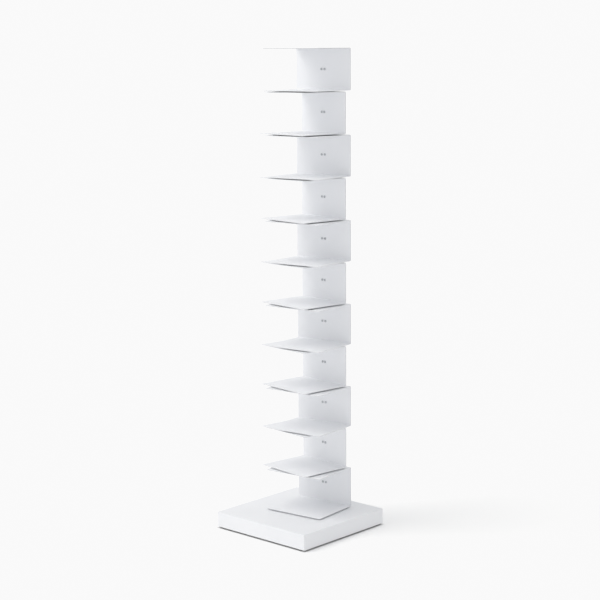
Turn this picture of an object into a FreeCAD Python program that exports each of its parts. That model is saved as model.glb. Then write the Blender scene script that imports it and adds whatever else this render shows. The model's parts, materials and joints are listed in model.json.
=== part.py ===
"""Spine bookshelf: folded steel shelf units that lean left and right by turns on a hidden post.

Frame: millimetres, Z up, the floor at z = 0 under the centre of the square base.
The shelves reach out towards -Y, and the post stands behind their walls.
"""
import FreeCAD, Part
import os

import Sketcher
from FreeCAD import Placement, Rotation, Vector

doc = FreeCAD.newDocument("spine_bookshelf")

# ---- Driving dimensions: millimetres, and degrees where said. A round thing's width is its diameter.
driving_sizes = [
    ("base_side", 380, "side of the square base"),
    ("base_top", 54, "height of the base's upper face over the floor"),
    ("skirt_clearance", 5, "floor to the lower edge of the base cover"),
    ("cover_sheet", 2, "sheet of the base cover"),
    ("cover_fold", 3, "outer radius of the cover's folds"),
    ("slot_clearance", 1, "cover slot to post, all round"),
    ("ballast_thick", 12, "steel ballast plate"),
    ("ballast_recess", 2, "underside of the ballast over the cover's lower edge"),
    ("ballast_clearance", 1, "ballast to the inside of the cover"),
    ("ballast_corner", 6, "cut across the ballast's corners"),
    ("foot_width", 32, "rubber foot where it is bonded to the ballast"),
    ("foot_tread", 29, "rubber foot on the floor"),
    ("foot_inset", 32, "centre of a foot in from the side of the base"),
    ("clip_length", 60, "angle clip, along the side of the base"),
    ("clip_leg", 26, "both legs of the angle clip"),
    ("clip_wall", 3, "wall of the angle clip"),
    ("clip_screw_inset", 16, "clip's screw in from the cover's inner face"),
    ("post_width", 40, "post, side to side"),
    ("post_depth", 20, "post, front to back"),
    ("post_wall", 2, "wall of the post's tube"),
    ("post_corner", 3, "outer radius of the post's corners"),
    ("post_top_gap", 4, "top of the cap below the uppermost plate's face"),
    ("cap_lid", 2, "lid of the post's cap"),
    ("cap_plug", 12, "part of the cap inside the tube"),
    ("cap_clearance", 0.2, "plug to tube, all round"),
    ("cap_wall", 1.5, "wall of the plug"),
    ("flange_width", 110, "foot flange of the post, side to side"),
    ("flange_depth", 80, "foot flange, front to back"),
    ("flange_thick", 6, "foot flange"),
    ("flange_corner", 6, "cut across the flange's corners"),
    ("bolt_inset", 14, "bolt in from the flange's edges"),
    ("bolt_shank", 8, "flange bolt"),
    ("bolt_length", 16, "flange bolt under its head"),
    ("bolt_flats", 13, "hexagon head across flats"),
    ("bolt_head", 5.3, "height of the hexagon head"),
    ("tier_count", 11, "shelf units, one over the other"),
    ("tier_pitch", 134, "one shelf unit to the next"),
    ("tier_gap", 3, "air between one unit and the next, and under the lowest"),
    ("tier_tilt", 6.5, "turn of a unit about the spine, left and right by turns, in degrees"),
    ("spine_inset", 70, "tilt axis in from the back of the base"),
    ("shelf_width", 208, "shelf unit along its wall"),
    ("shelf_depth", 178, "back of the wall to the front edge of the plates"),
    ("shelf_sheet", 2, "sheet of the shelf unit"),
    ("shelf_bend", 1.5, "inside radius of the shelf unit's folds"),
    ("shelf_corner", 2, "cut across the plates' free corners"),
    ("screw_spacing", 12, "holes of the two shelf screws, side by side"),
    ("screw_shank", 5, "shank of the clip screws and the shelf screws"),
    ("screw_head_width", 9.5, "head of a clip screw"),
    ("screw_head", 2.7, "height of that head"),
    ("hole_clearance", 0.25, "screw to plain hole, all round"),
    ("thread_clearance", 0.05, "thread to its hole, all round"),
    ("bracket_standoff", 10, "tilt axis to the front of the post"),
    ("bracket_width", 30, "channel bracket, side to side"),
    ("bracket_height", 70, "channel bracket"),
    ("bracket_wall", 3, "wall of the channel bracket"),
]

sizes = doc.addObject("Spreadsheet::Sheet", "sizes")
for row, (alias, value, meaning) in enumerate(driving_sizes, start=1):
    sizes.set(f"A{row}", meaning)
    sizes.set(f"B{row}", str(value))
    sizes.setAlias(f"B{row}", alias)
doc.recompute()

# ---- Places that follow from the driving dimensions, as formulas.
cover_inside = "(sizes.base_side / 2 - sizes.cover_sheet)"
ballast_underside = "(sizes.skirt_clearance + sizes.ballast_recess)"
ballast_face = f"({ballast_underside} + sizes.ballast_thick)"
flange_face = f"({ballast_face} + sizes.flange_thick)"
tilt_axis = "(sizes.base_side / 2 - sizes.spine_inset)"
post_middle = f"({tilt_axis} + sizes.bracket_standoff + sizes.post_depth / 2)"
tower_top = "(sizes.base_top + sizes.tier_count * sizes.tier_pitch)"
post_end = f"({tower_top} - sizes.post_top_gap - sizes.cap_lid)"
unit_height = "(sizes.tier_pitch - sizes.tier_gap)"
foot_place = "(sizes.base_side / 2 - sizes.foot_inset)"
clip_screw_across = f"({cover_inside} - sizes.clip_screw_inset)"
bolt_across = "(sizes.flange_width / 2 - sizes.bolt_inset)"
bolt_along = "(sizes.flange_depth / 2 - sizes.bolt_inset)"
screw_hole = "(sizes.screw_shank + 2 * sizes.hole_clearance)"
screw_thread = "(sizes.screw_shank + 2 * sizes.thread_clearance)"
bolt_hole = "(sizes.bolt_shank + 2 * sizes.hole_clearance)"
bolt_thread = "(sizes.bolt_shank + 2 * sizes.thread_clearance)"

four_corners = [(1, 1), (-1, 1), (-1, -1), (1, -1)]
screw_pair = ["-sizes.screw_spacing / 2", "sizes.screw_spacing / 2"]
both_sides = (-1, 1)
x_axis = Vector(1, 0, 0)
z_axis = Vector(0, 0, 1)
close = 0.01
sub_parts = []


# ---- Sketches
def new_body(name):
    """An empty body, labelled with its sub-part's name."""
    body = doc.addObject("PartDesign::Body", name)
    body.Label = name
    sub_parts.append(body)
    return body


def new_sketch(body, role, name, height="0"):
    """A sketch on one of the body's own planes, raised along that plane's normal."""
    sketch = body.newObject("Sketcher::SketchObject", name)
    plane = next(feature for feature in body.Origin.OriginFeatures if feature.Role == role)
    sketch.AttachmentSupport = [(plane, "")]
    sketch.MapMode = "FlatFace"
    if height != "0":
        sketch.setExpression("AttachmentOffset.Base.z", height)
    return sketch


def hold(sketch, kind, formula, *place):
    """Adds a constraint whose value is a formula."""
    index = sketch.addConstraint(Sketcher.Constraint(kind, *place, sketch.evalExpression(formula)))
    if "sizes." in formula:
        sketch.setExpression(f"Constraints[{index}]", formula)


def hold_point(sketch, geometry, vertex, across, up):
    """Ties a point to its distances from the sketch's origin."""
    hold(sketch, "DistanceX", across, -1, 1, geometry, vertex)
    hold(sketch, "DistanceY", up, -1, 1, geometry, vertex)


def draw_polygon(sketch, corners):
    """A closed outline through corners given as pairs of formulas."""
    points = [Vector(*[sketch.evalExpression(formula) for formula in corner]) for corner in corners]
    first = sketch.GeometryCount
    for start, end in zip(points, points[1:] + points[:1]):
        sketch.addGeometry(Part.LineSegment(start, end))
    for number, (across, up) in enumerate(corners):
        before = first + (number - 1) % len(corners)
        sketch.addConstraint(Sketcher.Constraint("Coincident", before, 2, first + number, 1))
        hold_point(sketch, first + number, 1, across, up)


def draw_rectangle(sketch, left, bottom, right, top):
    draw_polygon(sketch, [(left, bottom), (right, bottom), (right, top), (left, top)])


def draw_middle_rectangle(sketch, width, depth):
    """A rectangle about the sketch's origin."""
    across = f"({width}) / 2"
    along = f"({depth}) / 2"
    draw_rectangle(sketch, f"-{across}", f"-{along}", across, along)


def draw_circle(sketch, across, up, width):
    centre = Vector(sketch.evalExpression(across), sketch.evalExpression(up))
    circle = sketch.addGeometry(Part.Circle(centre, z_axis, sketch.evalExpression(width) / 2))
    hold_point(sketch, circle, 3, across, up)
    hold(sketch, "Diameter", width, circle)


def draw_hexagon(sketch, across, up, flats):
    """A hexagon with two of its flats level."""
    corner = f"({flats}) / 2 / cos(30)"
    draw_polygon(sketch, [(f"{across} + {corner} * cos({turn})", f"{up} + {corner} * sin({turn})")
                          for turn in range(0, 360, 60)])


# ---- Solid features
def pad(body, sketch, length, midplane=False, reverse=False):
    feature = body.newObject("PartDesign::Pad", f"{sketch.Name}_pad")
    feature.Profile = sketch
    feature.setExpression("Length", length)
    feature.Midplane = midplane
    feature.Reversed = reverse
    doc.recompute()
    return feature


def pocket(body, sketch, length=None, midplane=False, reverse=False):
    """Cuts a sketch out of the body, right through it where no length is given."""
    volume = body.Shape.Volume
    feature = body.newObject("PartDesign::Pocket", f"{sketch.Name}_pocket")
    feature.Profile = sketch
    feature.Midplane = midplane
    feature.Reversed = reverse
    if length is None:
        feature.Type = "ThroughAll"
    else:
        feature.setExpression("Length", length)
    doc.recompute()
    if body.Shape.Volume >= volume:
        raise RuntimeError(f"{feature.Label} cuts nothing")
    return feature


def edges_that(feature, test):
    """The names of a feature's edges that pass the test."""
    return [f"Edge{number}" for number, edge in enumerate(feature.Shape.Edges, start=1) if test(edge)]


def fillet(body, feature, radius, test):
    rounded = body.newObject("PartDesign::Fillet", f"{feature.Name}_fillet")
    rounded.Base = (feature, edges_that(feature, test))
    rounded.setExpression("Radius", radius)
    doc.recompute()
    return rounded


def chamfer(body, feature, size, test):
    cropped = body.newObject("PartDesign::Chamfer", f"{feature.Name}_chamfer")
    cropped.Base = (feature, edges_that(feature, test))
    cropped.setExpression("Size", size)
    doc.recompute()
    return cropped


def runs_along(edge, axis):
    """True for a straight edge parallel to the axis."""
    span = edge.Vertexes[-1].Point - edge.Vertexes[0].Point
    return span.Length > close and span.cross(axis).Length < close


def place(body, along="0", height="0", lean=0):
    """Puts a body at its place by formulas, turned by the tier's tilt where lean is 1 or -1."""
    body.Placement = Placement(Vector(), Rotation(Vector(0, 0, lean or 1), 0))
    body.setExpression("Placement.Base.y", along)
    body.setExpression("Placement.Base.z", height)
    if lean:
        body.setExpression("Placement.Rotation.Angle", "sizes.tier_tilt")


# ---- Base
def make_base_cover():
    """The upturned tray of folded sheet with mitred corners, and a slot for the post."""
    body = new_body("base_cover")
    outline = new_sketch(body, "XY_Plane", "cover_outline")
    draw_middle_rectangle(outline, "sizes.base_side", "sizes.base_side")
    block = pad(body, outline, "sizes.base_top - sizes.skirt_clearance")
    rounded = fillet(body, block, "sizes.cover_fold", lambda edge: edge.BoundBox.ZMin > close)
    faces = enumerate(rounded.Shape.Faces, start=1)
    shell = body.newObject("PartDesign::Thickness", "cover_shell")
    shell.Base = (rounded, [f"Face{number}" for number, face in faces if face.CenterOfMass.z < close])
    shell.setExpression("Value", "sizes.cover_sheet")
    shell.Reversed = True
    doc.recompute()
    slot = new_sketch(body, "XY_Plane", "post_slot", "sizes.base_top - sizes.skirt_clearance")
    half_width = "(sizes.post_width / 2 + sizes.slot_clearance)"
    half_depth = "(sizes.post_depth / 2 + sizes.slot_clearance)"
    draw_rectangle(slot, f"-{half_width}", f"{post_middle} - {half_depth}",
                   half_width, f"{post_middle} + {half_depth}")
    pocket(body, slot, "2 * sizes.cover_sheet")
    place(body, height="sizes.skirt_clearance")


def make_ballast_plate():
    """The heavy plate that everything in the base is fixed to."""
    body = new_body("ballast_plate")
    outline = new_sketch(body, "XY_Plane", "ballast_outline")
    plate_side = f"2 * ({cover_inside} - sizes.ballast_clearance)"
    draw_middle_rectangle(outline, plate_side, plate_side)
    plate = pad(body, outline, "sizes.ballast_thick")
    chamfer(body, plate, "sizes.ballast_corner", lambda edge: runs_along(edge, z_axis))
    holes = new_sketch(body, "XY_Plane", "ballast_holes", "sizes.ballast_thick")
    for side, end in four_corners:
        draw_circle(holes, f"{side} * {bolt_across}", f"{post_middle} + {end} * {bolt_along}", bolt_thread)
    for side in both_sides:
        draw_circle(holes, f"{side} * {clip_screw_across}", "0", screw_hole)
    pocket(body, holes)
    place(body, height=ballast_underside)


def make_base_feet():
    """Four tapered rubber feet, bonded under the corners of the ballast."""
    body = new_body("base_feet")
    for number, (side, end) in enumerate(four_corners, start=1):
        foot = body.newObject("PartDesign::AdditiveCone", f"foot_{number}")
        foot.setExpression("Placement.Base.x", f"{side} * {foot_place}")
        foot.setExpression("Placement.Base.y", f"{end} * {foot_place}")
        foot.setExpression("Radius1", "sizes.foot_tread / 2")
        foot.setExpression("Radius2", "sizes.foot_width / 2")
        foot.setExpression("Height", ballast_underside)
        doc.recompute()


def make_cover_clips():
    """Two angle clips that join the cover's side skirts to the ballast, each with a tapped hole."""
    body = new_body("cover_clips")
    profile = new_sketch(body, "XZ_Plane", "clip_profile")
    heel = f"({cover_inside} - sizes.clip_wall)"
    toe = f"({cover_inside} - sizes.clip_leg)"
    for side in both_sides:
        draw_polygon(profile, [(f"{side} * {across}", up) for across, up in (
            (toe, "0"),
            (cover_inside, "0"),
            (cover_inside, "sizes.clip_leg"),
            (heel, "sizes.clip_leg"),
            (heel, "sizes.clip_wall"),
            (toe, "sizes.clip_wall"),
        )])
    pad(body, profile, "sizes.clip_length", midplane=True)
    holes = new_sketch(body, "XY_Plane", "clip_holes", "sizes.clip_wall")
    for side in both_sides:
        draw_circle(holes, f"{side} * {clip_screw_across}", "0", screw_thread)
    pocket(body, holes, "sizes.clip_wall")
    place(body, height=ballast_face)


def make_clip_screws():
    """Two pan-head screws driven upwards through the ballast into the clips."""
    body = new_body("clip_screws")
    heads = new_sketch(body, "XY_Plane", "clip_screw_heads")
    shanks = new_sketch(body, "XY_Plane", "clip_screw_shanks")
    for side in both_sides:
        draw_circle(heads, f"{side} * {clip_screw_across}", "0", "sizes.screw_head_width")
        draw_circle(shanks, f"{side} * {clip_screw_across}", "0", "sizes.screw_shank")
    pad(body, heads, "sizes.screw_head", reverse=True)
    pad(body, shanks, "sizes.ballast_thick + sizes.clip_wall")
    place(body, height=ballast_underside)


# ---- Spine
def make_post_flange():
    """The plate welded to the foot of the post."""
    body = new_body("post_flange")
    outline = new_sketch(body, "XY_Plane", "flange_outline")
    draw_middle_rectangle(outline, "sizes.flange_width", "sizes.flange_depth")
    plate = pad(body, outline, "sizes.flange_thick")
    chamfer(body, plate, "sizes.flange_corner", lambda edge: runs_along(edge, z_axis))
    holes = new_sketch(body, "XY_Plane", "flange_holes", "sizes.flange_thick")
    for side, end in four_corners:
        draw_circle(holes, f"{side} * {bolt_across}", f"{end} * {bolt_along}", bolt_hole)
    pocket(body, holes)
    place(body, along=post_middle, height=ballast_face)


def make_flange_bolts():
    """Hexagon bolts through the flange into the ballast."""
    body = new_body("flange_bolts")
    heads = new_sketch(body, "XY_Plane", "bolt_heads")
    shanks = new_sketch(body, "XY_Plane", "bolt_shanks")
    for side, end in four_corners:
        centre = (f"{side} * {bolt_across}", f"{end} * {bolt_along}")
        draw_hexagon(heads, *centre, "sizes.bolt_flats")
        draw_circle(shanks, *centre, "sizes.bolt_shank")
    pad(body, heads, "sizes.bolt_head")
    pad(body, shanks, "sizes.bolt_length", reverse=True)
    place(body, along=post_middle, height=flange_face)


def make_spine_post():
    """The rectangular tube that carries every shelf unit."""
    body = new_body("spine_post")
    outline = new_sketch(body, "XY_Plane", "post_outline")
    draw_middle_rectangle(outline, "sizes.post_width", "sizes.post_depth")
    bar = pad(body, outline, f"{post_end} - {flange_face}")
    fillet(body, bar, "sizes.post_corner", lambda edge: runs_along(edge, z_axis))
    bore = new_sketch(body, "XY_Plane", "post_bore")
    draw_middle_rectangle(bore, "sizes.post_width - 2 * sizes.post_wall",
                          "sizes.post_depth - 2 * sizes.post_wall")
    pocket(body, bore, reverse=True)
    place(body, along=post_middle, height=flange_face)


def make_post_cap():
    """The moulded cap pressed into the top of the post."""
    body = new_body("post_cap")
    outline = new_sketch(body, "XY_Plane", "lid_outline")
    draw_middle_rectangle(outline, "sizes.post_width", "sizes.post_depth")
    lid = pad(body, outline, "sizes.cap_lid")
    fillet(body, lid, "sizes.post_corner", lambda edge: runs_along(edge, z_axis))
    plug_inset = "sizes.post_wall + sizes.cap_clearance"
    hollow_inset = f"{plug_inset} + sizes.cap_wall"
    plug = new_sketch(body, "XY_Plane", "cap_plug")
    draw_middle_rectangle(plug, f"sizes.post_width - 2 * ({plug_inset})",
                          f"sizes.post_depth - 2 * ({plug_inset})")
    pad(body, plug, "sizes.cap_plug", reverse=True)
    hollow = new_sketch(body, "XY_Plane", "cap_hollow")
    draw_middle_rectangle(hollow, f"sizes.post_width - 2 * ({hollow_inset})",
                          f"sizes.post_depth - 2 * ({hollow_inset})")
    pocket(body, hollow, "sizes.cap_plug")
    place(body, along=post_middle, height=post_end)


# ---- Tiers. Each piece's own origin is on the tilt axis, at the back face of the shelf unit's wall.
def make_shelf_unit(name, underside, lean):
    """One sheet folded to a C: lower plate, wall and upper plate, with holes for its two screws."""
    body = new_body(name)
    outline = new_sketch(body, "YZ_Plane", f"{name}_outline")
    draw_rectangle(outline, "-sizes.shelf_depth", "0", "0", unit_height)
    block = pad(body, outline, "sizes.shelf_width", midplane=True)
    block = fillet(body, block, "sizes.shelf_bend + sizes.shelf_sheet", lambda edge: (
        runs_along(edge, x_axis) and abs(edge.CenterOfMass.y) < close))
    space = new_sketch(body, "YZ_Plane", f"{name}_space")
    draw_rectangle(space, "-sizes.shelf_depth", "sizes.shelf_sheet",
                   "-sizes.shelf_sheet", f"{unit_height} - sizes.shelf_sheet")
    folded = pocket(body, space, midplane=True)
    folded = fillet(body, folded, "sizes.shelf_bend", lambda edge: (
        runs_along(edge, x_axis) and abs(edge.CenterOfMass.y + sizes.shelf_sheet) < close))
    chamfer(body, folded, "sizes.shelf_corner", lambda edge: (
        runs_along(edge, z_axis) and abs(edge.CenterOfMass.y + sizes.shelf_depth) < close))
    holes = new_sketch(body, "XZ_Plane", f"{name}_holes")
    for across in screw_pair:
        draw_circle(holes, across, f"{unit_height} / 2", screw_hole)
    pocket(body, holes, reverse=True)
    place(body, along=tilt_axis, height=underside, lean=lean)


def make_bracket(name, middle, lean):
    """A channel welded to the post. Its flanges are cut on the bevel, so that its tapped web leans."""
    body = new_body(name)
    outline = new_sketch(body, "XY_Plane", f"{name}_outline")
    half = "(sizes.bracket_width / 2)"
    slant = f"{lean} * {half} * tan(sizes.tier_tilt)"
    reach = "sizes.bracket_standoff / cos(sizes.tier_tilt)"
    draw_polygon(outline, [(f"-{half}", "0"), (half, "0"),
                           (half, f"{reach} - {slant}"), (f"-{half}", f"{reach} + {slant}")])
    pad(body, outline, "sizes.bracket_height", midplane=True)
    space = new_sketch(body, "XY_Plane", f"{name}_space")
    inside = f"({half} - sizes.bracket_wall)"
    draw_rectangle(space, f"-{inside}", "sizes.bracket_wall", inside, "2 * sizes.bracket_standoff")
    pocket(body, space, midplane=True)
    holes = new_sketch(body, "XZ_Plane", f"{name}_holes")
    for across in screw_pair:
        draw_circle(holes, across, "0", screw_thread)
    pocket(body, holes)
    place(body, along=tilt_axis, height=middle, lean=lean)


make_base_cover()
make_ballast_plate()
make_base_feet()
make_cover_clips()
make_clip_screws()
make_post_flange()
make_flange_bolts()
make_spine_post()
make_post_cap()
for tier in range(int(sizes.tier_count)):
    number = f"{tier + 1:02d}"
    lean = 1 if tier % 2 == 0 else -1
    underside = f"(sizes.base_top + sizes.tier_gap + {tier} * sizes.tier_pitch)"
    make_shelf_unit(f"shelf_{number}", underside, lean)
    make_bracket(f"bracket_{number}", f"({underside} + {unit_height} / 2)", lean)
doc.recompute()

# ---- Checks, then one file for each sub-part.
for item in doc.Objects:
    if {"Invalid", "Error"} & set(item.State):
        raise RuntimeError(f"{item.Label} did not build: {item.State}")
for body in sub_parts:
    if body.Shape.isNull() or not body.Shape.isValid() or not body.Shape.Solids:
        raise RuntimeError(f"{body.Label} has no valid solid")

os.makedirs("parts", exist_ok=True)
for body in sub_parts:
    body.Shape.exportStep(f"parts/{body.Label}.step")
    print(body.Label, len(body.Shape.Solids), round(body.Shape.Volume), body.Shape.BoundBox)
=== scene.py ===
# Spine bookshelf: eleven folded steel units that lean left and right by turns, in a white powder coat.
# The frame is in metres, +Z up, with the shelves open towards -Y and the post behind their walls.
import json
import math

import bmesh
import bpy
from mathutils import Matrix, Vector


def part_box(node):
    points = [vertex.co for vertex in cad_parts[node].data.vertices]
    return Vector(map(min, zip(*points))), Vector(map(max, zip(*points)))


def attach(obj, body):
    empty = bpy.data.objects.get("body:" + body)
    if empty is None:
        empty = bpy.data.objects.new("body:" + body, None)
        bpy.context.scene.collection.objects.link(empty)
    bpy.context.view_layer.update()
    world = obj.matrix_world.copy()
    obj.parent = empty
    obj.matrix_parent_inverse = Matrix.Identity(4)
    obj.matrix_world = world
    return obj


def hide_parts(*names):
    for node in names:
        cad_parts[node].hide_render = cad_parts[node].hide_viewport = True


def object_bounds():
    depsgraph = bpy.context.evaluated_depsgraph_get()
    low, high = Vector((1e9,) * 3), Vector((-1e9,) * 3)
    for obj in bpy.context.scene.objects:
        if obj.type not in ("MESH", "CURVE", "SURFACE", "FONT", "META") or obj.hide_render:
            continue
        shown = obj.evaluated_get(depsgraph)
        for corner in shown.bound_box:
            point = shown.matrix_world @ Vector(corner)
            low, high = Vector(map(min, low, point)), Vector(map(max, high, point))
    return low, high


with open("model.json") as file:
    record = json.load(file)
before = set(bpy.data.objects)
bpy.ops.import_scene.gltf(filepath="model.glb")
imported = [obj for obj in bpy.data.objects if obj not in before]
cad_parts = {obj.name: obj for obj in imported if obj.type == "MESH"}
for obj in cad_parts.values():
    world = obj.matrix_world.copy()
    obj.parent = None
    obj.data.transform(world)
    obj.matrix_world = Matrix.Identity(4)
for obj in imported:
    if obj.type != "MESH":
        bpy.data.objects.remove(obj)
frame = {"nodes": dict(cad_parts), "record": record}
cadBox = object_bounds()
scene = bpy.context.scene
mm = 0.001
print("frame loaded:", len(frame["nodes"]), "nodes")


# Camera
camera = {
    "place": (3.2858, -3.5838, 1.5336),
    "turn": -42.479,  # degrees from +Y towards +X
    "dip": 9.254,  # degrees below level
    "roll": -0.350,
    "lens": 93.47,
    "sensor": 36.0,
    "sight": 100.0,  # nothing further away is shown
}


def makeCamera():
    turn, dip, roll = [math.radians(camera[name]) for name in ("turn", "dip", "roll")]
    level = Vector((math.cos(turn), -math.sin(turn), 0))
    ahead = Vector((math.sin(turn) * math.cos(dip), math.cos(turn) * math.cos(dip), -math.sin(dip)))
    upright = level.cross(ahead)
    right = math.cos(roll) * level + math.sin(roll) * upright
    up = math.cos(roll) * upright - math.sin(roll) * level
    lens = bpy.data.cameras.new("camera")
    lens.lens = camera["lens"]
    lens.sensor_width = camera["sensor"]
    lens.clip_end = camera["sight"]
    viewer = bpy.data.objects.new("camera", lens)
    scene.collection.objects.link(viewer)
    viewer.matrix_world = Matrix((right, up, -ahead)).transposed().to_4x4()
    viewer.location = camera["place"]
    scene.camera = viewer


makeCamera()
print("camera placed")


# Shader nodes
def newTree(owner):
    owner.use_nodes = True
    owner.node_tree.nodes.clear()
    return owner.node_tree


def addNode(tree, kind, links=(), **settings):
    # links: (input name or number, socket or value that feeds it)
    node = tree.nodes.new(kind)
    for name, value in settings.items():
        setattr(node, name, value)
    for name, source in links:
        if isinstance(source, bpy.types.NodeSocket):
            tree.links.new(source, node.inputs[name])
        else:
            node.inputs[name].default_value = source
    return node


def calculate(tree, operation, *values):
    return addNode(tree, "ShaderNodeMath", enumerate(values), operation=operation).outputs[0]


# Sky: plain white to the camera, and a soft light for the object that is dimmer on one side
sky = {
    "seen": (1.0, 1.0, 1.0),
    "light": (0.828, 0.831, 0.834),
    "dimSide": (0.92, -0.10, 0.38),  # the light is dimmest from this direction
    "dimShare": 0.33,
    "dimPower": 2.0,  # higher for a narrower dim side
}
whitest = 0.951  # nothing is shown lighter than this


def makeSky():
    world = bpy.data.worlds.new("studioSky")
    tree = newTree(world)
    seen = addNode(tree, "ShaderNodeBackground", [("Color", (*sky["seen"], 1))])
    towards = addNode(tree, "ShaderNodeTexCoord").outputs["Generated"]
    side = addNode(tree, "ShaderNodeVectorMath", [(0, towards), (1, sky["dimSide"])], operation="DOT_PRODUCT")
    ahead = calculate(tree, "MAXIMUM", side.outputs["Value"], 0.0)
    near = calculate(tree, "POWER", ahead, sky["dimPower"])
    strength = calculate(tree, "MULTIPLY_ADD", near, -sky["dimShare"], 1.0)
    lit = addNode(tree, "ShaderNodeBackground", [("Color", (*sky["light"], 1)), ("Strength", strength)])
    ray = addNode(tree, "ShaderNodeLightPath")
    mix = addNode(tree, "ShaderNodeMixShader", [
        (0, ray.outputs["Is Camera Ray"]), (1, lit.outputs[0]), (2, seen.outputs[0])])
    addNode(tree, "ShaderNodeOutputWorld", [("Surface", mix.outputs[0])])
    scene.world = world


def capWhites():
    # Plain colours, with one even white where the backdrop and the lit floor are brightest.
    look = scene.view_settings
    look.view_transform = "Standard"
    look.use_curve_mapping = True
    curves = look.curve_mapping
    curves.extend = "HORIZONTAL"
    line = curves.curves[3]  # red, green and blue together
    line.points[1].location = (1, whitest)
    line.points.new(whitest, whitest)
    for point in line.points:
        point.handle_type = "VECTOR"
    curves.update()


# Two far lamps, each by its direction and its width in degrees, and one near soft box
farLamps = {
    "key": {"from": (-0.40, -0.47, 0.79), "width": 36.0, "strength": 0.52, "colour": (1.0, 0.97, 0.93)},
    "fill": {"from": (-0.81, -0.47, 0.34), "width": 40.0, "strength": 0.10, "colour": (0.93, 0.98, 1.0)},
}
softBox = {
    "place": (-0.62, -0.85, 2.25),
    "aim": (0.0, 0.03, 1.2),
    "side": 0.9,
    "watts": 4.3,
    "colour": (1.0, 0.98, 0.95),
}


def addLamp(name, kind, towards, colour, strength):
    # A lamp that stands in the given direction from what it lights.
    lamp = bpy.data.lights.new(name, kind)
    lamp.energy = strength
    lamp.color = colour
    holder = bpy.data.objects.new(name, lamp)
    scene.collection.objects.link(holder)
    holder.rotation_mode = "QUATERNION"
    holder.rotation_quaternion = Vector(towards).to_track_quat("Z", "Y")
    return holder


def makeLamps():
    for name, values in farLamps.items():
        holder = addLamp(name, "SUN", values["from"], values["colour"], values["strength"])
        holder.data.angle = math.radians(values["width"])
    place = Vector(softBox["place"])
    towards = place - Vector(softBox["aim"])
    holder = addLamp("softBox", "AREA", towards, softBox["colour"], softBox["watts"])
    holder.data.size = softBox["side"]
    holder.location = place


# Floor: a round sheet that fades out far away
ground = {
    "colour": (0.980, 0.980, 0.980),
    "glow": 0.095,  # faint painted light from below, left out under the base, which paints a darker contact shadow there
    "glowEdge": 4.0 * mm,  # the glow sets in over this width round the base
    "radius": 14.0,
    "segments": 96,
    "fade": (4.0, 11.0),  # solid up to the first distance and gone at the second
}


def floorGlow(tree, place):
    # The floor glows as painted light, except under the base, where the missing glow paints a contact shadow.
    half = cadBox[1][0]
    plan = addNode(tree, "ShaderNodeVectorMath", [(0, place)], operation="ABSOLUTE")
    sides = addNode(tree, "ShaderNodeSeparateXYZ", [(0, plan.outputs[0])])
    reach = calculate(tree, "MAXIMUM", sides.outputs[0], sides.outputs[1])
    strength = addNode(tree, "ShaderNodeMapRange", [
        ("Value", reach), ("From Min", half), ("From Max", half + ground["glowEdge"]),
        ("To Max", ground["glow"])])
    return addNode(tree, "ShaderNodeEmission", [("Strength", strength.outputs[0])]).outputs[0]


def makeFloorPaint():
    paint = bpy.data.materials.new("floorPaint")
    tree = newTree(paint)
    place = addNode(tree, "ShaderNodeTexCoord").outputs["Object"]
    away = addNode(tree, "ShaderNodeVectorMath", [(0, place)], operation="LENGTH").outputs["Value"]
    near, far = ground["fade"]
    fade = addNode(tree, "ShaderNodeMapRange", [("Value", away), ("From Min", near), ("From Max", far)],
                   interpolation_type="SMOOTHSTEP")
    paper = addNode(tree, "ShaderNodeBsdfDiffuse", [("Color", (*ground["colour"], 1))])
    solid = addNode(tree, "ShaderNodeAddShader", [(0, paper.outputs[0]), (1, floorGlow(tree, place))])
    clear = addNode(tree, "ShaderNodeBsdfTransparent")
    mix = addNode(tree, "ShaderNodeMixShader", [
        (0, fade.outputs[0]), (1, solid.outputs[0]), (2, clear.outputs[0])])
    addNode(tree, "ShaderNodeOutputMaterial", [("Surface", mix.outputs[0])])
    return paint


def makeFloor():
    shape = bmesh.new()
    bmesh.ops.create_circle(shape, cap_ends=True, segments=ground["segments"], radius=ground["radius"])
    floor = bpy.data.objects.new("floor", bpy.data.meshes.new("floor"))
    shape.to_mesh(floor.data)
    shape.free()
    floor.data.materials.append(makeFloorPaint())
    scene.collection.objects.link(floor)


makeSky()
capWhites()
makeLamps()
makeFloor()
print("studio lit")


# Materials. Every texture is laid out in the frame's own metres.
noiseRange = (0.3, 0.7)  # nearly all noise lies between these


def newPaint(name):
    paint = bpy.data.materials.new(name)
    tree = newTree(paint)
    place = addNode(tree, "ShaderNodeTexCoord").outputs["Object"]
    return paint, tree, place


def noise(tree, place, scale, detail=2.0, roughness=0.5, distortion=0.0):
    return addNode(tree, "ShaderNodeTexNoise", [
        ("Vector", place), ("Scale", scale), ("Detail", detail), ("Roughness", roughness),
        ("Distortion", distortion)]).outputs["Fac"]


def spread(tree, value, goal=(0, 1), source=noiseRange):
    # A value in the source's range is stretched to the goal's.
    return addNode(tree, "ShaderNodeMapRange", [
        ("Value", value), ("From Min", source[0]), ("From Max", source[1]), ("To Min", goal[0]),
        ("To Max", goal[1])]).outputs["Result"]


def blendColours(tree, share, first, second):
    # The mix node takes colours at inputs 6 and 7, and gives their blend at output 2.
    links = [(0, share)]
    for number, value in ((6, first), (7, second)):
        links.append((number, value if isinstance(value, bpy.types.NodeSocket) else (*value, 1)))
    return addNode(tree, "ShaderNodeMix", links, data_type="RGBA").outputs[2]


def bump(tree, height, distance, below=None):
    links = [("Height", height), ("Distance", distance)]
    if below is not None:
        links.append(("Normal", below))
    return addNode(tree, "ShaderNodeBump", links).outputs["Normal"]


def finishPaint(tree, sockets):
    shader = addNode(tree, "ShaderNodeBsdfPrincipled", sockets.items())
    addNode(tree, "ShaderNodeOutputMaterial", [("Surface", shader.outputs[0])])


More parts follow.
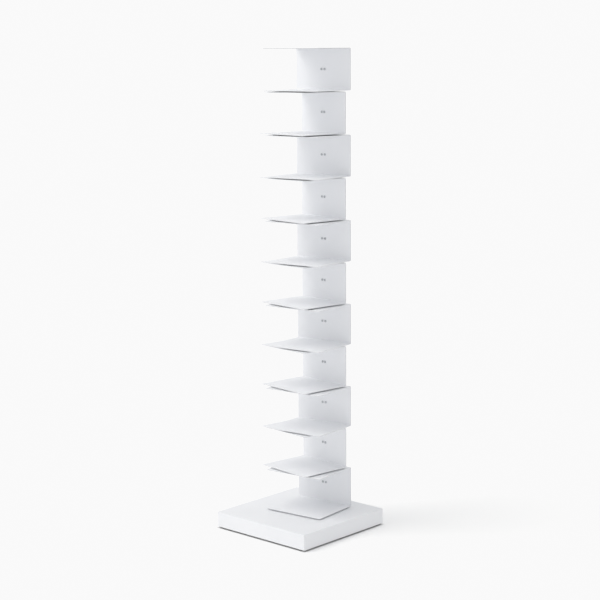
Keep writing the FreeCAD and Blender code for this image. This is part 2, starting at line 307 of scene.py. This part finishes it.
powderCoat = {
    "light": (0.889, 0.898, 0.920),
    "deep": (0.864, 0.874, 0.898),
    "clouds": {"scale": 7.0, "detail": 3.0},
    "thin": (0.600, 0.608, 0.622),  # on cut edges: painted shade, and a thinner coat there
    "thinShare": (0.75, 1.0),
    "wear": {"scale": 90.0, "detail": 3.0},
    "gloss": (0.40, 0.50),
    "glossPatches": {"scale": 60.0, "detail": 2.0},
    "peel": {"scale": 420.0, "detail": 1.5},
    "peelDepth": 0.05 * mm,
    "grit": {"scale": 2600.0, "detail": 1.0},
    "gritDepth": 0.008 * mm,
    "refraction": 1.5,
}


def makePowderCoat():
    paint, tree, place = newPaint("powderCoat")
    clouds = noise(tree, place, **powderCoat["clouds"])
    whole = blendColours(tree, spread(tree, clouds), powderCoat["light"], powderCoat["deep"])
    # Cut edges are painted darker, unevenly along them: partly a thinner coat, partly painted shade.
    cut = addNode(tree, "ShaderNodeAttribute", attribute_name="cutEdge").outputs["Fac"]
    uneven = spread(tree, noise(tree, place, **powderCoat["wear"]), powderCoat["thinShare"])
    bare = calculate(tree, "MULTIPLY", cut, uneven)
    peel = bump(tree, noise(tree, place, **powderCoat["peel"]), powderCoat["peelDepth"])
    grit = bump(tree, noise(tree, place, **powderCoat["grit"]), powderCoat["gritDepth"], below=peel)
    finishPaint(tree, {
        "Base Color": blendColours(tree, bare, whole, powderCoat["thin"]),
        "Roughness": spread(tree, noise(tree, place, **powderCoat["glossPatches"]), powderCoat["gloss"]),
        "Normal": grit,
        "IOR": powderCoat["refraction"],
    })
    return paint


millSteel = {
    "scale": (0.085, 0.090, 0.100),  # the colour of mill scale
    "bare": (0.230, 0.225, 0.220),
    "patches": {"scale": 22.0, "detail": 6.0, "roughness": 0.65, "distortion": 0.6},
    "patchRange": (0.42, 0.72),
    "gloss": (0.38, 0.62),
    "metal": 0.85,
    "grain": {"scale": 700.0, "detail": 3.0},
    "grainDepth": 0.02 * mm,
}


def makeMillSteel():
    paint, tree, place = newPaint("millSteel")
    patches = noise(tree, place, **millSteel["patches"])
    share = spread(tree, patches, source=millSteel["patchRange"])
    grain = noise(tree, place, **millSteel["grain"])
    finishPaint(tree, {
        "Base Color": blendColours(tree, share, millSteel["scale"], millSteel["bare"]),
        "Roughness": spread(tree, patches, millSteel["gloss"]),
        "Metallic": millSteel["metal"],
        "Normal": bump(tree, grain, millSteel["grainDepth"]),
    })
    return paint


zincPlate = {
    "bright": (0.62, 0.64, 0.66),
    "dull": (0.47, 0.48, 0.50),
    "cells": {"scale": 240.0, "detail": 4.0, "roughness": 0.6},
    "gloss": (0.24, 0.40),
    "metal": 1.0,
    "grain": {"scale": 1500.0},
    "grainDepth": 0.01 * mm,
}


def makeZincPlate():
    paint, tree, place = newPaint("zincPlate")
    cells = noise(tree, place, **zincPlate["cells"])
    grain = noise(tree, place, **zincPlate["grain"])
    finishPaint(tree, {
        "Base Color": blendColours(tree, spread(tree, cells), zincPlate["bright"], zincPlate["dull"]),
        "Roughness": spread(tree, cells, zincPlate["gloss"]),
        "Metallic": zincPlate["metal"],
        "Normal": bump(tree, grain, zincPlate["grainDepth"]),
    })
    return paint


rubber = {
    "dark": (0.018, 0.018, 0.019),
    "dusty": (0.045, 0.044, 0.042),
    "dust": {"scale": 90.0, "detail": 5.0, "roughness": 0.6},
    "dustRange": (0.45, 0.75),
    "gloss": (0.62, 0.80),
    "grain": {"scale": 1800.0, "detail": 3.0},
    "grainDepth": 0.03 * mm,
}


def makeRubber():
    paint, tree, place = newPaint("footRubber")
    dust = noise(tree, place, **rubber["dust"])
    share = spread(tree, dust, source=rubber["dustRange"])
    grain = noise(tree, place, **rubber["grain"])
    finishPaint(tree, {
        "Base Color": blendColours(tree, share, rubber["dark"], rubber["dusty"]),
        "Roughness": spread(tree, dust, rubber["gloss"]),
        "Normal": bump(tree, grain, rubber["grainDepth"]),
    })
    return paint


capPlastic = {
    "light": (0.79, 0.79, 0.78),
    "deep": (0.74, 0.74, 0.73),
    "clouds": {"scale": 40.0, "detail": 3.0},
    "gloss": (0.45, 0.55),
    "grain": {"scale": 1300.0, "detail": 2.0},
    "grainDepth": 0.03 * mm,
}


def makeCapPlastic():
    paint, tree, place = newPaint("capPlastic")
    clouds = noise(tree, place, **capPlastic["clouds"])
    grain = noise(tree, place, **capPlastic["grain"])
    finishPaint(tree, {
        "Base Color": blendColours(tree, spread(tree, clouds), capPlastic["light"], capPlastic["deep"]),
        "Roughness": spread(tree, clouds, capPlastic["gloss"]),
        "Normal": bump(tree, grain, capPlastic["grainDepth"]),
    })
    return paint


paints = {
    "white_coat": makePowderCoat(),
    "raw_steel": makeMillSteel(),
    "zinc_steel": makeZincPlate(),
    "foot_rubber": makeRubber(),
    "cap_plastic": makeCapPlastic(),
}
print("materials made:", len(paints))


# Every node takes the paint of its slot in the record, also where a piece stands in for it further on.
slots = {part["node"]: part["material_slot"] for part in frame["record"]["subparts"]}
for name, slot in slots.items():
    mesh = frame["nodes"][name].data
    mesh.materials.clear()
    mesh.materials.append(paints[slot])
print("nodes painted:", len(slots))


# Helpers for shapes
softEdge = {
    "segments": 2,
    "weight": 100,  # how much the broad faces rule the shading
    "sheetAngle": 50,  # degrees. Edges of folded sheet sharper than this are rounded.
    "solidAngle": 40,  # the same for solid parts
    "smoothAngle": 35,  # edges of screws sharper than this are shaded sharp
}


def newObject(name, mesh, slot):
    piece = bpy.data.objects.new(name, mesh)
    scene.collection.objects.link(piece)
    mesh.materials.clear()
    mesh.materials.append(paints[slot])
    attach(piece, "root")
    return piece


def quarterTurns(steps):
    # Angles from zero to a quarter turn.
    return [math.pi / 2 * step / steps for step in range(steps + 1)]


def meshOf(shape, name):
    mesh = bpy.data.meshes.new(name)
    shape.normal_update()
    shape.to_mesh(mesh)
    shape.free()
    mesh.shade_smooth()
    return mesh


def finishedMesh(shape, name):
    bmesh.ops.recalc_face_normals(shape, faces=shape.faces)
    mesh = meshOf(shape, name)
    mesh.set_sharp_from_angle(angle=math.radians(softEdge["smoothAngle"]))
    return mesh


def addLoops(shape, loops):
    # A closed skin over loops of points, each loop the same length, with a cap at both ends.
    made = [[shape.verts.new(point) for point in loop] for loop in loops]
    for first, second in zip(made, made[1:]):
        for number in range(len(first)):
            after = (number + 1) % len(first)
            shape.faces.new((first[number], second[number], second[after], first[after]))
    shape.faces.new(made[0])
    shape.faces.new(made[-1])


def baked(mesh, name, modifiers):
    # The mesh after its modifiers.
    piece = bpy.data.objects.new(name, mesh)
    scene.collection.objects.link(piece)
    for kind, settings in modifiers:
        change = piece.modifiers.new(kind, kind)
        for setting, value in settings.items():
            setattr(change, setting, value)
    view = bpy.context.evaluated_depsgraph_get()
    result = bpy.data.meshes.new_from_object(piece.evaluated_get(view))
    result.name = name
    bpy.data.objects.remove(piece)
    return result


def roundedEdges(width, angle):
    # Modifiers that round each edge sharper than the angle in degrees.
    return [
        ("BEVEL", {"width": width, "segments": softEdge["segments"], "limit_method": "ANGLE",
                   "angle_limit": math.radians(angle)}),
        ("WEIGHTED_NORMAL", {"keep_sharp": True, "weight": softEdge["weight"]}),
    ]


def foldedSheet(skin, name, values, offset, cutter):
    # A sheet of even thickness, with the cutter's shape taken out. An offset of -1 keeps it inside its skin.
    tool = bpy.data.objects.new(cutter.name, cutter)
    scene.collection.objects.link(tool)
    mesh = baked(skin, name, [
        ("SOLIDIFY", {"thickness": values["sheet"], "offset": offset, "use_even_offset": True}),
        ("BOOLEAN", {"object": tool, "operation": "DIFFERENCE", "solver": "EXACT"}),
        *roundedEdges(values["edge"], softEdge["sheetAngle"]),
    ])
    bpy.data.objects.remove(tool)
    return mesh


# Shelf units
unit = {
    "sheet": 2.0 * mm,
    "bend": 1.5 * mm,  # inside radius of the folds
    "bendSteps": 8,
    "corner": 2.5 * mm,  # radius of the plates' free corners
    "cornerSteps": 6,
    "edge": 0.4 * mm,  # softening of the cut edges
    "holeWidth": 5.5 * mm,
    "holeSteps": 32,
    "drillLength": 40.0 * mm,
    "screwSpacing": 12.0 * mm,
    "plateWear": 0.35,  # share of the painted edge shade and thinner coat along the plates, where 1 is along the wall
    "sideFacing": 0.3,  # a face whose normal leans this far sideways is a cut edge
    "broadFacing": 0.95,  # at the front, a face is broad if its normal is this near to upright
}


def measureUnit(node):
    # The wall's back edge runs from the node's furthest point back to its furthest point on the other side.
    points = [vertex.co for vertex in node.data.vertices]
    rear = max(points, key=lambda point: point.y)
    side = -1 if rear.x > 0 else 1
    other = max(points, key=lambda point: (round(side * point.x, 5), point.y))
    left, right = sorted((rear, other), key=lambda point: point.x)
    along = (right - left).to_2d()
    axis = (left + right) / 2
    turn = math.atan2(along.y, along.x)
    low, high = min(point.z for point in points), max(point.z for point in points)
    placing = Matrix.Translation((axis.x, axis.y, low)) @ Matrix.Rotation(turn, 4, "Z")
    inward = placing.inverted()
    depth = -min((inward @ point).y for point in points)
    return {"placing": placing, "width": along.length, "depth": depth, "height": high - low}


def unitRows(size):
    # Half width, depth and height of each row of the sheet's middle face, from one free edge to the other.
    middle = unit["sheet"] / 2
    fold = unit["bend"] + middle
    corner = unit["corner"]
    half = size["width"] / 2
    rows = []
    for turn in quarterTurns(unit["cornerSteps"]):
        across = half - corner * (1 - math.sin(turn))
        rows.append((across, -size["depth"] + corner * (1 - math.cos(turn)), middle))
    for turn in quarterTurns(unit["bendSteps"]):
        rows.append((half, -middle - fold * (1 - math.sin(turn)), middle + fold * (1 - math.cos(turn))))
    upper = [(across, along, size["height"] - height) for across, along, height in reversed(rows)]
    return rows + upper


def addRod(shape, centre, width, length, steps):
    # A plain round bar along Y.
    placing = Matrix.Translation(centre) @ Matrix.Rotation(math.pi / 2, 4, "X")
    bmesh.ops.create_cone(shape, cap_ends=True, segments=steps, radius1=width / 2, radius2=width / 2,
                          depth=length, matrix=placing)


def makeUnitMesh(size):
    shape = bmesh.new()
    rows = [[shape.verts.new((side * across, along, height)) for side in (-1, 1)]
            for across, along, height in unitRows(size)]
    for (left, right), (nextLeft, nextRight) in zip(rows, rows[1:]):
        shape.faces.new((left, nextLeft, nextRight, right))
    sheet = meshOf(shape, "unitSheet")
    shape = bmesh.new()
    for side in (-1, 1):
        centre = (side * unit["screwSpacing"] / 2, 0, size["height"] / 2)
        addRod(shape, centre, unit["holeWidth"], unit["drillLength"], unit["holeSteps"])
    return foldedSheet(sheet, "shelfUnit", unit, 0.0, meshOf(shape, "drill"))


def markCutEdges(mesh, size, uppermost):
    # How dark each face is painted as a cut edge, partly thinner coat and partly painted shade: not at all on
    # broad faces, and most along the walls and over the top unit.
    front = unit["corner"] - size["depth"]
    fold = unit["sheet"] + unit["bend"]
    marks = []
    for face in mesh.polygons:
        height = face.center.z
        sideways = abs(face.normal.x) > unit["sideFacing"]
        forward = face.center.y < front and abs(face.normal.z) < unit["broadFacing"]
        fullShare = fold < height < size["height"] - fold or (uppermost and height > fold)
        wear = 1.0 if fullShare else unit["plateWear"]
        marks.append(wear if sideways or forward else 0.0)
    mesh.attributes.new("cutEdge", "FLOAT", "FACE").data.foreach_set("value", marks)


shelfNodes = sorted(name for name in frame["nodes"] if name.startswith("shelf_"))
unitSizes = {name: measureUnit(frame["nodes"][name]) for name in shelfNodes}
unitMesh = makeUnitMesh(unitSizes[shelfNodes[0]])
for name in shelfNodes:
    mesh = unitMesh.copy()
    markCutEdges(mesh, unitSizes[name], name == shelfNodes[-1])
    mesh.transform(unitSizes[name]["placing"])
    piece = newObject("unit" + name[-3:], mesh, "white_coat")
    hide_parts(name)
print("shelf units made:", len(shelfNodes))


# Screws with button heads and hexagon sockets
screwForm = {
    "steps": 36,
    "domeSteps": 5,
    "domeFoot": 0.22,  # height of the dome's foot as a share of the head's
    "brim": 0.12,  # height of the head's widest ring as a share of the head's
    "brimEdge": 0.1 * mm,
    "socketRim": 0.25 * mm,
    "pitch": 0.8 * mm,
    "threadDepth": 0.45 * mm,
    "rootShare": 0.25,  # share of the pitch before each ridge starts
    "flankShare": 0.35,  # share of the pitch from there to the crest
    "crestShare": 0.5,  # share of the pitch from there to the crest's end
}

shelfScrew = {
    "headWidth": 8.0 * mm,
    "headHeight": 2.4 * mm,
    "crown": 0.62,  # width of the head's flat top as a share of the head
    "socketFlats": 3.0 * mm,
    "socketDepth": 1.5 * mm,
    "shankWidth": 5.0 * mm,
    "shankLength": 8.0 * mm,
    "twist": 17,  # degrees by which the sockets differ from one another
}


def screwRings(size):
    # Radius, height over the seat and whether the ring is a hexagon, from the socket's floor to the tip.
    edge, top = size["headWidth"] / 2, size["headHeight"]
    face, flats = size["crown"] * edge, size["socketFlats"] / 2
    rim = screwForm["socketRim"]
    rings = [(flats, top - size["socketDepth"], True), (flats, top - rim, True)]
    rings.append((flats / math.cos(math.pi / 6) + rim, top, False))
    foot = screwForm["domeFoot"]
    for turn in quarterTurns(screwForm["domeSteps"]):
        height = top * (foot + (1 - foot) * math.cos(turn))
        rings.append((face + (edge - face) * math.sin(turn), height, False))
    rings += [(edge, screwForm["brim"] * top, False), (edge - screwForm["brimEdge"], 0, False)]
    pitch = screwForm["pitch"]
    crest = size["shankWidth"] / 2
    root = crest - screwForm["threadDepth"]
    rings.append((root, 0, False))
    for number in range(int(size["shankLength"] / pitch)):
        start = -(number + screwForm["rootShare"]) * pitch
        rings += [(root, start, False), (crest, start - screwForm["flankShare"] * pitch, False),
                  (crest, start - screwForm["crestShare"] * pitch, False)]
    rings.append((root, -size["shankLength"], False))
    return rings


def ringRadius(radius, turn, hexagon):
    if not hexagon:
        return radius
    sixth = math.pi / 3
    return radius / math.cos((turn + sixth / 2) % sixth - sixth / 2)


def addScrew(shape, size, placing):
    # A screw whose head stands out along its own +Z, with its seat at zero.
    turns = [2 * math.pi * step / screwForm["steps"] for step in range(screwForm["steps"])]
    loops = []
    for radius, height, hexagon in screwRings(size):
        reaches = [ringRadius(radius, turn, hexagon) for turn in turns]
        loops.append([placing @ Vector((reach * math.cos(turn), reach * math.sin(turn), height))
                      for reach, turn in zip(reaches, turns)])
    addLoops(shape, loops)


def makeShelfScrew(name, side, word):
    size = unitSizes[name]
    seat = Vector((side * unit["screwSpacing"] / 2, -unit["sheet"], size["height"] / 2))
    facing = Matrix.Rotation(math.pi / 2, 4, "X")
    twist = math.radians(shelfScrew["twist"] * (2 * int(name[-2:]) + side))
    placing = size["placing"] @ Matrix.Translation(seat) @ facing @ Matrix.Rotation(twist, 4, "Z")
    shape = bmesh.new()
    addScrew(shape, shelfScrew, placing)
    newObject(f"screw_{name[-2:]}_{word}", finishedMesh(shape, "shelfScrew"), "zinc_steel")


for name in shelfNodes:
    makeShelfScrew(name, -1, "left")
    makeShelfScrew(name, 1, "right")
print("shelf screws made:", 2 * len(shelfNodes))


# Base cover: an upturned tray whose corners are welded and ground round
cover = {
    "sheet": 2.0 * mm,
    "fold": 3.0 * mm,  # outer radius of the folds round the top
    "corner": 3.4 * mm,  # outer radius of the upright corners
    "steps": 6,
    "edge": 0.4 * mm,
    "slotClearance": 1.0 * mm,
    "slotCorner": 2.0 * mm,
    "cutterReach": 10.0 * mm,  # above and below the top
}


def roundedLoop(low, high, radius, height, steps):
    # A rectangle with round corners between two corners in plan, as a list of points.
    loop = []
    for number, (across, along) in enumerate(((1, 1), (-1, 1), (-1, -1), (1, -1))):
        midX = (high.x - radius) if across > 0 else (low.x + radius)
        midY = (high.y - radius) if along > 0 else (low.y + radius)
        for step in range(steps + 1):
            turn = math.pi / 2 * (number + step / steps)
            loop.append(Vector((midX + radius * math.cos(turn), midY + radius * math.sin(turn), height)))
    return loop


def coverSkin(low, high):
    # The cover's outer face, open below.
    heights = [(low.z, 0)]
    for turn in quarterTurns(cover["steps"]):
        heights.append((high.z - cover["fold"] * (1 - math.sin(turn)), cover["fold"] * (1 - math.cos(turn))))
    shape = bmesh.new()
    loops = []
    for height, inset in heights:
        step = Vector((inset, inset, 0))
        loops.append(roundedLoop(low + step, high - step, cover["corner"] - inset, height, cover["steps"]))
    addLoops(shape, loops)
    bottom = [face for face in shape.faces if max(vert.co.z for vert in face.verts) < low.z + cover["edge"]]
    bmesh.ops.delete(shape, geom=bottom, context="FACES_ONLY")
    bmesh.ops.recalc_face_normals(shape, faces=shape.faces)
    return meshOf(shape, "coverSkin")


def slotCutter(top):
    # The opening round the post.
    low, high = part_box("spine_post")
    room = Vector((cover["slotClearance"], cover["slotClearance"], 0))
    shape = bmesh.new()
    addLoops(shape, [roundedLoop(low - room, high + room, cover["slotCorner"], height, cover["steps"])
                     for height in (top - cover["cutterReach"], top + cover["cutterReach"])])
    bmesh.ops.recalc_face_normals(shape, faces=shape.faces)
    return meshOf(shape, "slotCutter")


def makeCover():
    low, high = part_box("base_cover")
    mesh = foldedSheet(coverSkin(low, high), "baseCover", cover, -1.0, slotCutter(high.z))
    piece = newObject("baseTray", mesh, "white_coat")
    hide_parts("base_cover")


makeCover()
print("base cover made")


# Plain metal and rubber parts: the node's own solids with their edges broken
brokenEdges = {
    "ballast_plate": 0.8 * mm,
    "cover_clips": 0.5 * mm,
    "post_flange": 0.6 * mm,
    "flange_bolts": 0.4 * mm,
    "post_cap": 0.4 * mm,
    "spine_post": 0.3 * mm,
    "base_feet": 1.0 * mm,
}
samePoint = 0.001 * mm  # points nearer than this are one
sameFace = 0.5  # degrees. Faces that meet flatter than this are one.


def brokenMesh(name, edge):
    node = frame["nodes"][name].data
    shape = bmesh.new()
    points = [shape.verts.new(vertex.co) for vertex in node.vertices]
    for face in node.polygons:
        shape.faces.new([points[number] for number in face.vertices])
    bmesh.ops.remove_doubles(shape, verts=shape.verts, dist=samePoint)
    bmesh.ops.dissolve_limit(shape, angle_limit=math.radians(sameFace), verts=shape.verts, edges=shape.edges)
    return baked(meshOf(shape, name), name, roundedEdges(edge, softEdge["solidAngle"]))


for name, edge in brokenEdges.items():
    words = name.split("_")
    piece = newObject(words[0] + words[1].title(), brokenMesh(name, edge), slots[name])
    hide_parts(name)
print("plain parts made:", len(brokenEdges))


# Clip screws under the ballast
clipScrew = {
    "headWidth": 9.5 * mm,
    "headHeight": 2.7 * mm,
    "crown": 0.6,
    "socketFlats": 3.2 * mm,
    "socketDepth": 1.6 * mm,
    "shankWidth": 5.0 * mm,
}


def makeClipScrews():
    low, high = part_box("clip_screws")
    size = dict(clipScrew, shankLength=high.z - low.z - clipScrew["headHeight"])
    shape = bmesh.new()
    for across in (low.x + size["headWidth"] / 2, high.x - size["headWidth"] / 2):
        seat = Vector((across, (low.y + high.y) / 2, low.z + size["headHeight"]))
        addScrew(shape, size, Matrix.Translation(seat) @ Matrix.Rotation(math.pi, 4, "X"))
    piece = newObject("clipScrews", finishedMesh(shape, "clipScrews"), "zinc_steel")
    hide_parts("clip_screws")


makeClipScrews()
print("clip screws made")


# Channel brackets, with the weld beads that join them to the post
channel = {
    "edge": 0.4 * mm,
    "heel": 0.01 * mm,  # points this near to the post's face lie on it
}
bead = {
    "leg": 2.6 * mm,
    "bulge": 0.35,  # 0 for a flat face, 1 for a round one
    "ripple": 0.12,  # share of the leg
    "ripplePitch": 1.5 * mm,
    "stepsPerRipple": 4,
    "arcSteps": 6,
    "endGap": 2.0 * mm,
    "endTaper": 2.5 * mm,
    "endShare": 0.35,  # size of the ends as a share of the leg
    "sunk": 0.3 * mm,
}


def addBead(shape, corner, side, low, high):
    # A fillet weld in the corner between the post's face and a bracket's flank, from low to high.
    length = high - low
    count = int(length / bead["ripplePitch"] * bead["stepsPerRipple"])
    heart = corner + Vector((-side * bead["sunk"], bead["sunk"], 0))
    end, bulge = bead["endShare"], bead["bulge"]
    loops = []
    for step in range(count + 1):
        run = length * step / count
        wave = math.sin(2 * math.pi * run / bead["ripplePitch"])
        closing = min(1.0, run / bead["endTaper"], (length - run) / bead["endTaper"])
        leg = bead["leg"] * (1 + bead["ripple"] * wave) * (end + (1 - end) * math.sqrt(closing))
        loop = [heart]
        for turn in quarterTurns(bead["arcSteps"]):
            flat = 1 / (math.cos(turn) + math.sin(turn))
            reach = leg * (bulge + (1 - bulge) * flat)
            loop.append(corner + Vector((side * reach * math.cos(turn), -reach * math.sin(turn), 0)))
        loops.append([point + Vector((0, 0, low + run)) for point in loop])
    addLoops(shape, loops)


def makeBeads(name):
    low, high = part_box(name)
    points = [vertex.co for vertex in frame["nodes"][name].data.vertices]
    heel = [point.x for point in points if point.y > high.y - channel["heel"]]
    shape = bmesh.new()
    for side, across in ((-1, min(heel)), (1, max(heel))):
        corner = Vector((across, high.y, 0))
        addBead(shape, corner, side, low.z + bead["endGap"], high.z - bead["endGap"])
    bmesh.ops.recalc_face_normals(shape, faces=shape.faces)
    return meshOf(shape, "beads")


def makeChannel(name):
    shape = bmesh.new()
    shape.from_mesh(brokenMesh(name, channel["edge"]))
    shape.from_mesh(makeBeads(name))
    mesh = bpy.data.meshes.new("channel")
    shape.to_mesh(mesh)
    shape.free()
    piece = newObject("channel" + name[-3:], mesh, "white_coat")
    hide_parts(name)


channelNodes = sorted(name for name in frame["nodes"] if name.startswith("bracket_"))
for name in channelNodes:
    makeChannel(name)
print("channel brackets made:", len(channelNodes))
